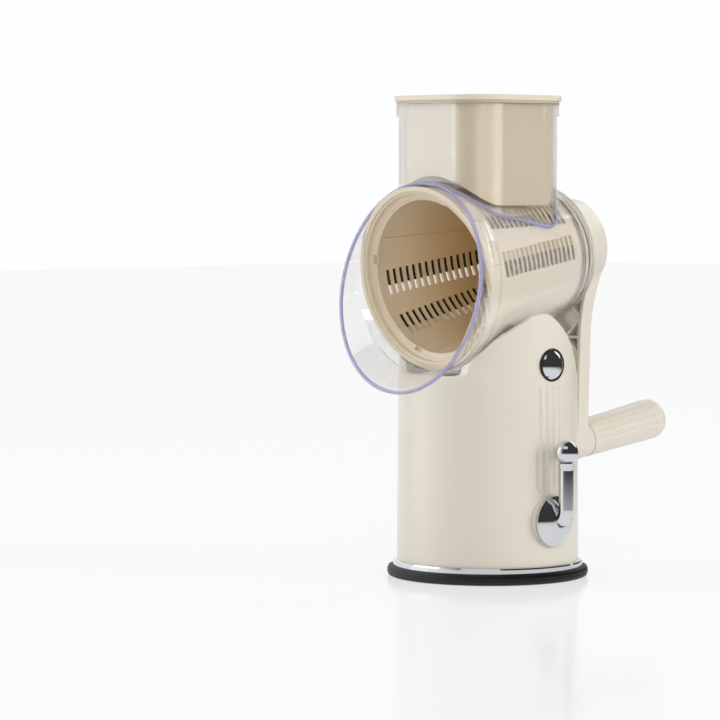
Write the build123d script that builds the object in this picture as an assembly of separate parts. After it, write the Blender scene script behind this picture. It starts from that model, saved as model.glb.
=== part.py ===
from build123d import *
import os
from math import atan, cos, degrees, radians, sin, sqrt, tan

# A hand cranked drum shredder on a suction base. Millimetres. The origin is the centre of the base on
# the table: +Z up, -Y to the open front of the drum, +X to the lever and the button, +Y to the crank.

# Fits
running_clearance = 0.05    # radial, a shaft in its bore
moving_gap = 0.3            # between pieces that pass each other
seat_gap = 0.1              # between fixed pieces that slot together

# Screws
screw_shank = 1.45
screw_hole = 1.5
screw_head = 2.9
screw_head_height = 2.0

# Suction pad and chrome trim
pad_radius = 64.1
pad_rim_height = 7.0
pad_edge_round = 2.4
pad_web = 2.0
pad_hollow = 1.2            # the web's height over the table
pad_boss_radius = 13.0
pad_boss_height = 4.6
pad_collar_height = 5.0
pad_collar_width = 3.4
trim_width = 2.5
trim_height = 3.9

# Body
body_radius = 58.0
body_top_radius = 56.7      # the draft of the moulding, at the tip of the ears
body_wall = 2.8
shoulder_height = 130.0
ear_rise = 38.8             # of the ears' tips over the shoulder
ear_front = -48.3           # the ears' front edge
ear_rear = 34.0             # where the ears' rear edge meets the shoulder
ear_gap = 0.4               # between the ears and the barrel
ear_round = 1.2
ear_foot_round = 3.0        # where an ear runs into the rear shoulder
flute_count = 5
flute_pitch = 5.6
flute_radius = 3.0
flute_depth = 1.4
flute_margin = 6.0          # from the grooves' ends to the hub and to the button
lug_width = 9.0
lug_height = 12.0
lug_reach = 13.0            # radial length of a lug, from the wall inwards
lug_count = 4

# Floor and stem
floor_thickness = 3.0
floor_screw_circle = 48.0
guide_radius = 9.0
guide_height = 9.0
stem_radius = 5.0
stem_flange_radius = 9.0
stem_flange_height = 2.0
stem_flange_seat = 1.6      # rubber under the flange
stem_travel = 4.0
yoke_half_width = 7.5
yoke_half_depth = 9.0
yoke_rise = 5.0             # over the guide
yoke_wall = 4.3
yoke_slack = 0.2

# Suction lever
lever_height = 38.5
lever_standoff = 10.5       # from the hub's rear face to the arm's axis
lever_throw = 43.9
lever_rod_radius = 4.7
lever_root = 2.5            # straight start of the arm before its bend
lever_ball_radius = 7.6
ball_seat_depth = 0.9
hub_radius = 15.9
hub_rim = 1.5
hub_dome = 5.2
hub_seat_ring = 0.8         # width of the dark ring round the hub
hub_seat_depth = 4.4
lever_shaft_radius = 4.0
eccentric_pin_radius = 3.0
web_radius = 6.8
web_thickness = 2.0
cheek_thickness = 3.0
cheek_half_width = 10.0
cheek_over = 8.0            # height of a cheek over the shaft
bracket_foot = 2.0
bracket_foot_reach = 9.0
clip_thickness = 1.2
clip_radius = 6.5

# Deck and release button
deck_drop = 11.0            # from the shoulder down to the deck
deck_thickness = 3.0
deck_screw_circle = 46.5
button_rise = 6.5           # of the button over the shoulder
button_radius = 9.0
button_dome = 4.2
button_skirt = 3.0
button_travel = 3.5
bezel_width = 1.0
bezel_proud = 0.5
plunger_radius = 4.0
plunger_tail_radius = 3.0
latch_face = 45.5           # x of the latch plate's outer face
latch_thickness = 2.0
latch_half_width = 21.0
latch_lift = 2.0            # of the latch plate over the deck
latch_rise = 6.0            # of the plate over the plunger's axis
tooth_offset = 17.0
tooth_width = 4.0
tooth_height = 4.0
tooth_reach = 4.5
tooth_play = 0.4
guide_post_near = 32.0
guide_post_thickness = 5.0
guide_post_half_width = 8.0
guide_post_foot = 12.0
spring_wire = 0.5
spring_radius = 4.4
spring_turns = 5

# Drum axis and cone: s is the distance along the axis from the front rim, rearwards
drum_tilt = 8.69
rim_y = -56.38
rim_rise = 60.41            # of the rim's centre over the shoulder
drum_radius = 58.2
cone_angle = 10.4
drum_wall = 2.3
drum_length = 101.0
drum_phase = 23.3           # angle of the first panel's middle, from +X upwards
front_ring_width = 8.3
front_ring_depth = 6.0
rear_wall_front = 97.0
hub_tube_radius = 13.0
hub_tube_front = 82.0
panel_front = 14.5
panel_rear = 95.0
panel_half_angle = 48.5
panel_gap = 0.25
tongue_front = 3.0
tongue_half_angle = 15.0
row_spread = 16.2           # angle from the panel's middle to a row
slot_count = 16
slot_first = 18.5
slot_last = 91.8
slot_width = 2.5
slot_length = 15.5
blade_share = 0.62          # part of a slot that the blade covers
blade_thickness = 0.5
blade_sink = 0.85
blade_margin = 2.0
ring_notch_angles = (168.0, 249.0, 62.0)
ring_notch_width = 6.0
ring_notch_depth = 2.2

# Housing
barrel_gap = 0.6
barrel_wall = 1.8
barrel_front_y = -46.0
barrel_inner_end = 103.5
barrel_back_wall = 2.7
barrel_outer_end = 112.3
bead_width = 3.0
bead_height = 0.7
hopper_side = 85.0
hopper_corner = 24.0
hopper_wall = 1.9
hopper_y = -9.5
hopper_rise = 109.6         # of the hopper's rim over the rim's centre
hopper_lip_height = 8.0
hopper_lip_width = 1.5
neck_radius = 53.0
neck_wall = 2.2
neck_front = -44.0
neck_rear = 20.0
neck_half_width = 29.0
neck_socket_rise = 6.0      # of the round socket over the deck
neck_latch_gap = 1.5
guard_bend_y = -59.0        # lowest point of the bend between barrel and guard
guard_bend_gap = 0.5        # over the body's shoulder
guard_bend_top_y = -51.0
guard_bend_top_rise = 60.3
guard_bend_half_width = 61.0
guard_low_y = -81.5
guard_low_drop = 70.9
guard_top_y = -58.0
guard_top_rise = 60.3
guard_half_width = 62.6
guard_wall = 1.6
guard_step = 0.3            # the guard's small step where it joins the barrel
guard_bead = 2.0
guard_bead_width = 0.4

# Pusher
pusher_side = 80.0
pusher_corner = 21.5
pusher_draft = 1.0
pusher_wall = 2.0
pusher_flange = 1.6
pusher_flange_width = 4.0
saddle_radius = 50.3
saddle_rise = 13.8          # of the saddle's axis over the rim's centre
lid_side = 90.0
lid_corner = 25.5
lid_thickness = 3.4
lid_round = 0.8

# Rear cover, bush and crank
cover_radius = 35.5
cover_thickness = 3.0
cover_screw_circle = 27.0
cover_screw_count = 4
bush_radius = 10.0
bush_flange_radius = 13.0
bush_flange = 1.2
bush_end = 112.8
crank_shaft_radius = 8.0
hex_across = 11.0
hex_play = 0.15
hex_front = 84.0
socket_radius = 9.5
head_front = 114.0
head_back = 139.0
head_front_radius = 35.5
head_back_radius = 28.5
head_round = 2.5
crank_wall = 2.6
crank_boss_radius = 13.0
crank_screw_radius = 2.5
crank_screw_head = 5.0
crank_screw_end = 118.0
cap_seat_radius = 9.0
cap_seat_depth = 4.5
cap_thickness = 1.6
arm_front = 70.4
arm_back = 80.0
arm_low_half_width = 12.0
arm_mid_half_width = 14.2
arm_mid_drop = 40.4
arm_top_half_width = 24.0
arm_top_rise = 1.6
rib_thickness = 1.8
rib_pitch = 26.0
rib_sink = 1.0
rib_count = 4

# Grip
grip_axis_y = 130.0         # a point on the grip's axis
grip_axis_drop = 101.2
grip_boss_length = 7.5
grip_length = 71.5
grip_root_radius = 12.3
grip_end_radius = 13.3
grip_cap_length = 8.0
grip_wall = 3.0
grip_bearing = 10.0
grip_flutes = 16
grip_flute_radius = 1.0
grip_flute_depth = 0.55
grip_flute_margin = 5.0
pin_radius = 4.0
pin_head_radius = 6.5
pin_head_height = 3.0


# Values that follow from the ones above

ear_height = shoulder_height + ear_rise
deck_top = shoulder_height - deck_drop
button_height = shoulder_height + button_rise
rim_z = shoulder_height + rim_rise
hopper_top = rim_z + hopper_rise
saddle_z = rim_z + saddle_rise
grip_axis_z = rim_z - grip_axis_drop
arm_mid_z = rim_z - arm_mid_drop
arm_top_z = rim_z + arm_top_rise
guard_bend_z = shoulder_height + guard_bend_gap
guard_bend_top_z = rim_z + guard_bend_top_rise
guard_low_z = rim_z - guard_low_drop
guard_top_z = rim_z + guard_top_rise
latch_low = deck_top + latch_lift
flute_bottom = lever_height + hub_radius + flute_margin
flute_top = button_height - button_radius - flute_margin


def body_outer(z):
    """Radius of the body's outer face at height z."""
    rise = (z - pad_rim_height) / (ear_height - pad_rim_height)
    return body_radius + (body_top_radius - body_radius) * rise


def cone_radius(s, offset=0.0):
    """Radius of the drum's outer face, s behind the front rim."""
    return drum_radius - s * tan(radians(cone_angle)) + offset


body_inner_radius = body_radius - body_wall
floor_bottom = pad_rim_height + pad_collar_height
floor_top = floor_bottom + floor_thickness
guide_top = floor_top + guide_height
deck_bottom = deck_top - deck_thickness
pin_offset = stem_travel / sqrt(2)      # a quarter turn about the middle height lifts by the travel
pin_y = pin_offset * cos(radians(45))
pin_z = lever_height - pin_offset * sin(radians(45))
barrel_offset = barrel_gap + barrel_wall
drum_plane = Plane(
    origin=(0, rim_y, rim_z),
    x_dir=(1, 0, 0),
    z_dir=(0, cos(radians(drum_tilt)), sin(radians(drum_tilt))),
)
slot_pitch = (slot_last - slot_first) / (slot_count - 1)
grip_start_z = grip_axis_z - (grip_axis_y - arm_back) * tan(radians(drum_tilt))
grip_plane = Plane(origin=(0, arm_back, grip_start_z), x_dir=(1, 0, 0), z_dir=drum_plane.z_dir)
arm_low_z = grip_start_z - (arm_back - arm_front) / 2 * tan(radians(drum_tilt))
lid_bottom = hopper_top + pusher_flange
low = (Align.CENTER, Align.CENTER, Align.MIN)


# Helpers

def rod(radius, start, end):
    """A cylinder on +Z between two heights."""
    return Pos(0, 0, start) * Cylinder(radius, end - start, align=low)


def rod_x(radius, start, end, y=0.0, z=0.0):
    """A cylinder along X between two places."""
    return Pos(start, y, z) * Rot(0, 90, 0) * Cylinder(radius, end - start, align=low)


def dome_x(radius, start, rim, rise, z):
    """A cylinder along X that ends in a shallow dome."""
    ball = (radius**2 + rise**2) / (2 * rise)
    height = rim - start
    middle = sqrt(ball**2 - (radius / 2) ** 2) - (ball - rise) + height
    lines = [
        Line((0, 0), (radius, 0)),
        Line((radius, 0), (radius, height)),
        ThreePointArc((radius, height), (radius / 2, middle), (0, height + rise)),
        Line((0, height + rise), (0, 0)),
    ]
    turned = revolve(Plane.XZ * make_face(Curve() + lines), Axis.Z)
    return Pos(start, 0, z) * Rot(0, 90, 0) * turned


def block(x, y, z):
    """A box from its three spans."""
    spans = (x, y, z)
    middle = [(a + b) / 2 for a, b in spans]
    return Pos(*middle) * Box(*[b - a for a, b in spans])


def ring(outer, inner, start, end):
    """A tube on +Z."""
    return rod(outer, start, end) - rod(inner, start - 1, end + 1)


def spun(*points):
    """A solid turned from a closed outline of (radius, height) points."""
    outline = make_face(Polyline(*[(r, 0, z) for r, z in points], close=True))
    return revolve(outline, Axis.Z)


def around(shape, count, start=0.0):
    """Copies of a shape spaced evenly round +Z."""
    return [Rot(0, 0, start + 360 * i / count) * shape for i in range(count)]


def joined(shapes):
    """One solid from a list."""
    total = shapes[0]
    for shape in shapes[1:]:
        total += shape
    return total


def screw(bottom, seat):
    """A pan head screw on +Z: the shank from bottom to seat, the head over it."""
    return rod(screw_shank, bottom, seat) + rod(screw_head, seat, seat + screw_head_height)


def cone(start, end, offset=0.0):
    """A piece of the drum's cone, in the drum's frame."""
    return Pos(0, 0, start) * Cone(
        cone_radius(start, offset), cone_radius(end, offset), end - start, align=low
    )


def cone_shell(start, end, outer, inner):
    """A wall between two offsets of the drum's cone."""
    return cone(start, end, outer) - cone(start, end, inner)


def wedge(centre, half, start, end, reach=90.0):
    """A pie piece in the drum's frame. Angles run from +X upwards, so they turn the other way here."""
    first = radians(-centre - half)
    middle = radians(-centre)
    last = radians(-centre + half)
    tip = [(reach * cos(a), reach * sin(a)) for a in (first, middle, last)]
    outline = Line((0, 0), tip[0]) + ThreePointArc(*tip) + Line(tip[2], (0, 0))
    return Pos(0, 0, start) * extrude(make_face(outline), end - start)


def at_angle(shape, angle):
    """Turns a shape on the drum's +X side to an angle measured upwards."""
    return Rot(0, 0, -angle) * shape


def in_drum(shape):
    """Moves a shape from the drum's frame to the object's."""
    return drum_plane.location * shape


def in_grip(shape):
    """Moves a shape from the grip's frame to the object's."""
    return grip_plane.location * shape


def rounded_prism(side, corner, bottom, top, y=hopper_y):
    """An upright prism with a rounded square section."""
    return Pos(0, y, bottom) * extrude(RectangleRounded(side, side, corner), top - bottom)


def oval(top, bottom, half_width, grow=0.0):
    """An ellipse across the object, from its top and bottom points (y, z)."""
    dy, dz = top[0] - bottom[0], top[1] - bottom[1]
    length = sqrt(dy * dy + dz * dz)
    plane = Plane(
        origin=(0, (top[0] + bottom[0]) / 2, (top[1] + bottom[1]) / 2),
        x_dir=(1, 0, 0),
        z_dir=(0, -dz / length, dy / length),
    )
    return plane * Ellipse(half_width + grow, length / 2 + grow), plane


# Base

def suction_pad():
    """Rubber foot: rim, thin web, boss for the stem and a collar clamped under the floor."""
    web_top = pad_hollow + pad_web
    collar = body_inner_radius - seat_gap
    pad = spun(
        (0, pad_hollow),
        (collar - 1, pad_hollow),
        (collar + pad_hollow, 0),
        (pad_radius - pad_edge_round, 0),
        (pad_radius - 0.3 * pad_edge_round, 0.3 * pad_edge_round),
        (pad_radius, pad_edge_round),
        (pad_radius, pad_rim_height - pad_edge_round),
        (pad_radius - 0.3 * pad_edge_round, pad_rim_height - 0.3 * pad_edge_round),
        (pad_radius - pad_edge_round, pad_rim_height),
        (collar, pad_rim_height),
        (collar, floor_bottom),
        (collar - pad_collar_width, floor_bottom),
        (collar - pad_collar_width, web_top),
        (pad_boss_radius, web_top),
        (pad_boss_radius, web_top + pad_boss_height),
        (0, web_top + pad_boss_height),
    )
    return pad - stem_foot()


def base_trim_ring():
    inner = body_radius + seat_gap
    outer = inner + trim_width
    top = pad_rim_height + trim_height
    return spun(
        (inner, pad_rim_height),
        (outer, pad_rim_height),
        (outer, top - 1.4),
        (outer - 0.5, top - 0.5),
        (inner + 0.4, top),
        (inner, top),
    )


def top_profile():
    """The space over the body, seen from the side: shoulder, ears and shoulder again."""
    reach = body_radius + 2 * body_wall
    above = ear_height + 2 * body_wall
    width = ear_rear - ear_front

    def point(along, up):
        return ear_front + along * width, shoulder_height + up * ear_rise

    front, rise_start = point(0, 0), point(0.137, 0.585)
    crown_start, fall_start, rear = point(0.386, 0.933), point(0.629, 0.907), point(1, 0)
    lines = [
        Line((-reach, shoulder_height), front),
        ThreePointArc(front, point(0.04, 0.35), rise_start),
        Line(rise_start, crown_start),
        ThreePointArc(crown_start, point(0.508, 1), fall_start),
        ThreePointArc(fall_start, point(0.821, 0.562), rear),
        Line(rear, (reach, shoulder_height)),
        Line((reach, shoulder_height), (reach, above)),
        Line((reach, above), (-reach, above)),
        Line((-reach, above), (-reach, shoulder_height)),
    ]
    outline = make_face(Curve() + lines)
    feet = [outline.vertices().sort_by_distance((*foot, 0))[0] for foot in (front, rear)]
    return extrude(Plane.YZ * fillet(feet, ear_foot_round), reach, both=True)


def flutes():
    """Upright grooves on the lever side."""
    grooves = []
    for i in range(flute_count):
        side = (i - (flute_count - 1) / 2) * flute_pitch
        angle = degrees(side / body_radius)
        place = body_outer(flute_bottom) + flute_radius - flute_depth
        groove = rod(flute_radius, flute_bottom, flute_top)
        groove += Pos(0, 0, flute_bottom) * Sphere(flute_radius)
        groove += Pos(0, 0, flute_top) * Sphere(flute_radius)
        grooves.append(Rot(0, 0, angle) * Pos(place, 0, 0) * groove)
    return grooves


def lugs(bottom, screw_circle, wall_radius):
    """Blocks on the inside of the body that take the screws."""
    lug = block(
        (wall_radius - lug_reach, wall_radius + body_wall / 2),
        (-lug_width / 2, lug_width / 2),
        (bottom, bottom + lug_height),
    )
    lug -= Pos(screw_circle, 0, 0) * rod(screw_hole, bottom - 1, bottom + lug_height + 1)
    return around(lug, lug_count, 45)


def on_outer_lip(edge):
    """True for the outer edges of the shoulder and the ears."""
    middle = edge @ 0.5
    radius = sqrt(middle.X**2 + middle.Y**2)
    lowest = edge.bounding_box().min.Z
    return lowest > shoulder_height - body_wall and radius > body_top_radius - body_wall / 4


def body_shell():
    height = ear_height + 2 - pad_rim_height
    top_radius = body_outer(ear_height + 2)
    shell = Pos(0, 0, pad_rim_height) * Cone(body_radius, top_radius, height, align=low)
    shell -= Pos(0, 0, pad_rim_height - 0.01) * Cone(
        body_radius - body_wall, top_radius - body_wall, height + 0.02, align=low
    )
    shell -= top_profile()
    lip = [edge for edge in shell.edges() if on_outer_lip(edge)]
    shell = fillet(lip, ear_round)
    shell -= barrel_space(ear_gap)
    for lug in lugs(floor_top, floor_screw_circle, body_inner_radius):
        shell += lug
    deck_wall = body_outer(deck_bottom) - body_wall
    for lug in lugs(deck_bottom - lug_height, deck_screw_circle, deck_wall):
        shell += lug
    for groove in flutes():
        shell -= groove
    shell -= rod_x(hub_radius + hub_seat_ring + seat_gap, 0, body_radius + 5, z=lever_height)
    shell -= rod_x(button_radius + moving_gap + bezel_width + seat_gap, 0, body_radius + 5, z=button_height)
    return shell


def base_plate():
    """Inner floor with the stem's guide."""
    plate = rod(body_inner_radius - seat_gap, floor_bottom, floor_top)
    plate += rod(guide_radius, floor_bottom, guide_top)
    plate -= rod(stem_radius + running_clearance, 0, guide_top + 1)
    hole = Pos(floor_screw_circle, 0, 0) * rod(screw_hole + seat_gap, 0, floor_top + 1)
    for one in around(hole, lug_count, 45):
        plate -= one
    for x in bracket_screw_places():
        plate -= Pos(x, 0, 0) * rod(screw_hole, 0, floor_top + 1)
    return plate


def base_screws():
    length = floor_thickness + lug_height - 2
    one = Pos(floor_screw_circle, 0, floor_bottom) * Rot(180, 0, 0) * screw(-length, 0)
    return Compound(children=around(one, lug_count, 45))


def bracket_screw_places():
    reach = cheek_inner_x() + cheek_thickness + bracket_foot_reach / 2
    return (-reach, reach)


def cheek_inner_x():
    return yoke_half_width + 1 + web_thickness + 1.5


def shaft_bracket():
    """Two cheeks on a foot that carry the lever's shaft on both sides of the stem."""
    inner = cheek_inner_x()
    outer = inner + cheek_thickness
    reach = outer + bracket_foot_reach
    width = (-cheek_half_width, cheek_half_width)
    bracket = block((-reach, reach), width, (floor_top, floor_top + bracket_foot))
    top = lever_height + cheek_over
    bracket += block((inner, outer), width, (floor_top, top))
    bracket += block((-outer, -inner), width, (floor_top, top))
    bracket -= rod(guide_radius + seat_gap, floor_top - 1, floor_top + bracket_foot + 1)
    bracket -= rod_x(lever_shaft_radius + running_clearance, -reach, reach, z=lever_height)
    for x in bracket_screw_places():
        bracket -= Pos(x, 0, 0) * rod(screw_hole, floor_top - 1, floor_top + bracket_foot + 1)
    return bracket


def bracket_screws():
    seat = floor_top + bracket_foot
    return Compound(children=[Pos(x, 0, 0) * screw(floor_bottom, seat) for x in bracket_screw_places()])


def hub_seat():
    """Dark ring in the wall round the lever's hub, with the shaft's outer bearing."""
    outer = hub_radius + hub_seat_ring
    back = hub_face() - moving_gap - hub_seat_depth
    seat = rod_x(outer, back, hub_face() - moving_gap, z=lever_height)
    return seat - rod_x(lever_shaft_radius + running_clearance, back - 1, hub_face() + 1, z=lever_height)


def hub_face():
    """x of the hub's rear face, just clear of the body."""
    return body_outer(lever_height) + 1.1


# Lever and stem

def lever_casting():
    """Dome and bent arm, one casting."""
    face = hub_face()
    lever_reach = face + lever_standoff
    dome = dome_x(hub_radius, face, face + hub_rim, hub_dome, lever_height)
    top = lever_height + lever_throw - lever_ball_radius + ball_seat_depth
    path = FilletPolyline(
        (face + 1, 0, lever_height),
        (lever_reach, 0, lever_height),
        (lever_reach, 0, top),
        radius=lever_standoff - lever_root,
    )
    start = Plane(origin=(face + 1, 0, lever_height), z_dir=(1, 0, 0))
    arm = sweep(start * Circle(lever_rod_radius), path=path)
    flare = Pos(lever_reach, 0, top - 4.5) * Cone(lever_rod_radius, lever_rod_radius + 0.6, 4.5, align=low)
    casting = dome + arm + flare
    return casting - rod_x(lever_shaft_radius, face - 1, face + 2.5, z=lever_height)


def lever_ball():
    centre = lever_height + lever_throw
    lever_reach = hub_face() + lever_standoff
    seat = centre - lever_ball_radius + ball_seat_depth
    ball = Pos(lever_reach, 0, centre) * Sphere(lever_ball_radius)
    reach = 2 * lever_ball_radius
    return ball - block(
        (lever_reach - reach, lever_reach + reach), (-reach, reach), (seat - reach, seat)
    )


def lever_shaft():
    """Shaft with an eccentric pin that lifts the stem's yoke."""
    web = yoke_half_width + 1
    end = cheek_inner_x() + cheek_thickness + clip_thickness + 1.5
    shaft = rod_x(lever_shaft_radius, web, hub_face() + 2.5, z=lever_height)
    shaft += rod_x(web_radius, web, web + web_thickness, z=lever_height)
    shaft += rod_x(web_radius, -web - web_thickness, -web, z=lever_height)
    shaft += rod_x(eccentric_pin_radius, -web, web, y=pin_y, z=pin_z)
    shaft += rod_x(lever_shaft_radius, -end, -web, z=lever_height)
    return shaft


def shaft_clip():
    """Open retaining ring outside the far cheek."""
    near = cheek_inner_x() + cheek_thickness + 0.2
    clip = rod_x(clip_radius, -near - clip_thickness, -near, z=lever_height)
    clip -= rod_x(lever_shaft_radius, -near - clip_thickness - 1, 0, z=lever_height)
    mouth = (-lever_shaft_radius * 0.6, lever_shaft_radius * 0.6)
    return clip - block((-near - clip_thickness - 1, 0), mouth, (lever_height, lever_height + clip_radius + 1))


def stem_foot():
    bottom = pad_hollow + stem_flange_seat
    flange = rod(stem_flange_radius, bottom, bottom + stem_flange_height)
    return flange + rod(stem_radius, bottom, guide_top + yoke_rise + 1)


def pull_stem():
    """Stem with a hooked yoke round the eccentric pin, open to the front for fitting."""
    slot = (pin_z - eccentric_pin_radius - yoke_slack, pin_z + eccentric_pin_radius + yoke_slack)
    bottom = slot[0] - yoke_wall
    width = (-yoke_half_width, yoke_half_width)
    depth = (-yoke_half_depth, yoke_half_depth)
    stem = stem_foot() & rod(stem_flange_radius, 0, bottom)
    stem += rod(stem_radius, pad_hollow + stem_flange_seat, bottom)
    stem += block(width, depth, (bottom, slot[1] + yoke_wall))
    slot_end = pin_offset + eccentric_pin_radius + 0.4
    return stem - block((-yoke_half_width - 1, yoke_half_width + 1), (-yoke_half_depth - 1, slot_end), slot)


# Deck, latch and button

def cradle_deck():
    deck = rod(body_outer(deck_top) - body_wall - seat_gap, deck_bottom, deck_top)
    hole = Pos(deck_screw_circle, 0, 0) * rod(screw_hole + seat_gap, deck_bottom - 1, deck_top + 1)
    for one in around(hole, lug_count, 45):
        deck -= one
    return deck


def deck_screws():
    one = Pos(deck_screw_circle, 0, 0) * screw(deck_top - lug_height, deck_top)
    return Compound(children=around(one, lug_count, 45))


def button_bezel():
    inner = button_radius + moving_gap
    outer = inner + bezel_width
    back = body_outer(button_height) - body_wall
    front = body_outer(button_height) + bezel_proud
    return rod_x(outer, back, front, z=button_height) - rod_x(inner, back - 1, front + 1, z=button_height)


def release_button():
    """Chrome dome with a short skirt."""
    front = body_outer(button_height) + bezel_proud
    return dome_x(button_radius, front - button_skirt, front, button_dome, button_height)


def button_plunger():
    """Rod from the button through the latch plate to the guide post."""
    front = body_outer(button_height) + bezel_proud - button_skirt
    tail = guide_post_near - guide_post_thickness - button_travel
    plunger = rod_x(plunger_radius, latch_face - latch_thickness, front, z=button_height)
    return plunger + rod_x(plunger_tail_radius, tail, latch_face - latch_thickness, z=button_height)


def tooth_spans(grow=0.0):
    """The two teeth's spans, or with grow the windows that they pass through."""
    spans = []
    for side in (-1, 1):
        middle = side * tooth_offset
        half = tooth_width / 2 + grow
        low_z = latch_low + 1 - grow
        spans.append(((middle - half, middle + half), (low_z, low_z + tooth_height + 2 * grow)))
    return spans


def latch_plate():
    back = latch_face - latch_thickness
    top = button_height + latch_rise
    plate = block((back, latch_face), (-latch_half_width, latch_half_width), (latch_low, top))
    for y, z in tooth_spans():
        plate += block((latch_face, latch_face + tooth_reach), y, z)
    return plate - rod_x(plunger_radius, back - 1, latch_face + 1, z=button_height)


def plunger_guide():
    far = guide_post_near - guide_post_thickness
    width = (-guide_post_half_width, guide_post_half_width)
    post = block((far, guide_post_near), width, (deck_top, button_height + guide_post_half_width))
    post += block((far - guide_post_foot, guide_post_near), width, (deck_top, deck_top + 3))
    return post - rod_x(plunger_tail_radius + running_clearance, far - 1, guide_post_near + 1, z=button_height)


def button_spring():
    """Coil between the guide post and the latch plate."""
    start = guide_post_near + spring_wire + seat_gap
    length = latch_face - latch_thickness - spring_wire - seat_gap - start
    path = Helix(pitch=length / spring_turns, height=length, radius=spring_radius)
    section = Plane(origin=path @ 0, z_dir=path % 0) * Circle(spring_wire)
    coil = sweep(section, path=path)
    return Pos(start, 0, button_height) * Rot(0, 90, 0) * coil


# Housing

def barrel_point(y, side, offset):
    """Height of the barrel's top (side 1) or bottom (side -1) over a place y."""
    tilt = radians(drum_tilt)
    slope = tan(radians(cone_angle))
    s = (y - rim_y + side * (drum_radius + offset) * sin(tilt)) / (cos(tilt) + side * slope * sin(tilt))
    return rim_z + s * sin(tilt) + side * cone_radius(s, offset) * cos(tilt)


def guard_sections(inset):
    """Sections from the barrel's mouth through the bend to the guard's oval edge."""
    offset = barrel_offset + guard_step
    mouth_top = barrel_point(barrel_front_y, 1, offset)
    mouth_low = barrel_point(barrel_front_y, -1, offset)
    half_width = cone_radius((barrel_front_y - rim_y) / cos(radians(drum_tilt)), offset)
    first = oval((barrel_front_y, mouth_top), (barrel_front_y, mouth_low), half_width, -inset)
    bend = oval(
        (guard_bend_top_y, guard_bend_top_z), (guard_bend_y, guard_bend_z), guard_bend_half_width, -inset
    )
    edge = oval((guard_top_y, guard_top_z), (guard_low_y, guard_low_z), guard_half_width, -inset)
    return first, bend, edge


def guard_body(inset):
    """The guard as a solid, drawn in by a wall or grown by a negative one."""
    first, bend, edge = guard_sections(inset)
    return loft([first[0], bend[0]], ruled=True) + loft([bend[0], edge[0]], ruled=True)


def front_guard():
    """Flared splash guard with a beaded oval edge."""
    guard = guard_body(0.0)
    bead, plane = oval(
        (guard_top_y, guard_top_z), (guard_low_y, guard_low_z), guard_half_width, guard_bead_width
    )
    guard += extrude(bead, guard_bead, dir=-plane.z_dir)
    opening = guard_sections(guard_wall)[2][0]
    hollow = guard_body(guard_wall) + extrude(opening, guard_bead + 1, dir=plane.z_dir)
    return guard - hollow


def behind_mouth():
    """Everything behind the barrel's mouth."""
    reach = 2 * drum_length
    return block((-reach, reach), (barrel_front_y - 0.2, reach), (rim_z - reach, rim_z + reach))


def barrel_space(gap):
    """What the barrel and the guard fill, grown by a gap."""
    barrel = in_drum(cone(-20, barrel_outer_end, barrel_offset + gap)) & behind_mouth()
    return barrel + guard_body(-gap)


def hopper_shell():
    top = hopper_top
    tube = rounded_prism(hopper_side, hopper_corner, rim_z, top)
    lip_side = hopper_side + 2 * hopper_lip_width
    tube += rounded_prism(lip_side, hopper_corner + hopper_lip_width, top - hopper_lip_height, top)
    return tube


def hopper_bore(bottom):
    inner = hopper_side - 2 * hopper_wall
    return rounded_prism(inner, hopper_corner - hopper_wall, bottom, hopper_top + 1)


def neck():
    """Foot that plugs into the body: a round socket, its flange and a hollow column up to the barrel."""
    top = deck_top + neck_socket_rise
    socket = ring(neck_radius, neck_radius - neck_wall, deck_top, top)
    flange = rod(neck_radius, top - neck_wall, top)
    reach = neck_radius + body_wall
    front = block((-reach, reach), (neck_front, reach), (deck_top, top))
    column = block((-neck_half_width, neck_half_width), (neck_front, neck_rear), (deck_top, rim_z))
    inner = block(
        (neck_wall - neck_half_width, neck_half_width - neck_wall),
        (neck_front + neck_wall, neck_rear - neck_wall),
        (deck_top - 1, rim_z + 1),
    )
    foot = (socket + flange & front) + column - inner
    latch = latch_half_width + neck_latch_gap
    foot -= block(
        (neck_half_width, latch_face + tooth_play), (-latch, latch), (deck_top - 1, top + 1)
    )
    for y, z in tooth_spans(tooth_play):
        foot -= block((latch_face, reach), y, z)
    foot -= block(
        (guide_post_near - guide_post_thickness - guide_post_foot - neck_latch_gap, latch_face),
        (-guide_post_half_width - neck_latch_gap, guide_post_half_width + neck_latch_gap),
        (deck_top - 1, button_height + guide_post_half_width + neck_latch_gap),
    )
    return foot


def barrel_housing():
    """Clear barrel, guard, hopper and neck, one moulding."""
    barrel = in_drum(cone(-20, barrel_outer_end, barrel_offset)) & behind_mouth()
    bead_start = barrel_outer_end - bead_width
    bead_radius = cone_radius(bead_start, barrel_offset) + bead_height
    barrel_bead = in_drum(rod(bead_radius, bead_start, barrel_outer_end))
    body = barrel + barrel_bead + hopper_shell() + neck()
    bore = hopper_bore(rim_z + 12)
    body -= in_drum(cone(-25, barrel_inner_end, barrel_gap))
    back = barrel_inner_end + barrel_back_wall
    body -= in_drum(rod(cover_radius + seat_gap, back, barrel_outer_end + 1))
    body -= in_drum(rod(bush_radius, barrel_inner_end - 1, back + 1))
    for hole in around(Pos(cover_screw_circle, 0, 0) * rod(screw_hole, 90, back + 1), cover_screw_count, 45):
        body -= in_drum(hole)
    body += front_guard()
    return body - bore


def rear_cover():
    start = barrel_inner_end + barrel_back_wall
    cover = rod(cover_radius, start, start + cover_thickness)
    cover -= rod(bush_radius, start - 1, start + cover_thickness + 1)
    hole = Pos(cover_screw_circle, 0, 0) * rod(screw_hole + seat_gap, start - 1, start + cover_thickness + 1)
    for one in around(hole, cover_screw_count, 45):
        cover -= one
    return in_drum(cover)


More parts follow.
